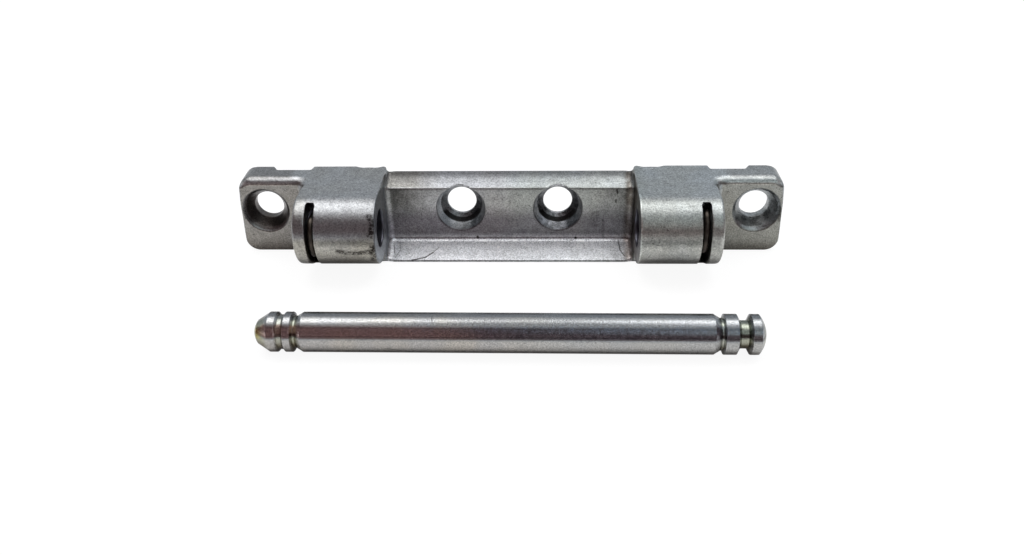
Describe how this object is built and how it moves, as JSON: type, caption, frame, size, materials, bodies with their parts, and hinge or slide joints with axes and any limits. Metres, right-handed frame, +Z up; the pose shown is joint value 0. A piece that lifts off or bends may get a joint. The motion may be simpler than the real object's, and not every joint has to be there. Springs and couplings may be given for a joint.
{
  "type": "window scissor stay bearing",
  "caption": "Cast bearing block that carries a tilt window's scissor stay, with two wire-clipped knuckles and its grooved hinge pin drawn out.",
  "frame": {"origin": "centre of the screw row, on the back of the web between the knuckles", "axes": "+X along the hinge axis, +Y into the window frame, +Z up"},
  "size_m": [0.0938, 0.0374, 0.0141],
  "materials": {
    "cast_zinc": "fine-grained zinc die casting with a thin worn plating",
    "plated_steel": "turned steel, zinc plated with a faint yellow passivation",
    "spring_wire": "drawn spring steel, lightly oiled"
  },
  "bodies": {
    "root": {"bearing_body": "cast_zinc", "hinge_pin": "plated_steel", "left_wire_clip": "spring_wire", "right_wire_clip": "spring_wire"}
  },
  "joints": []
}
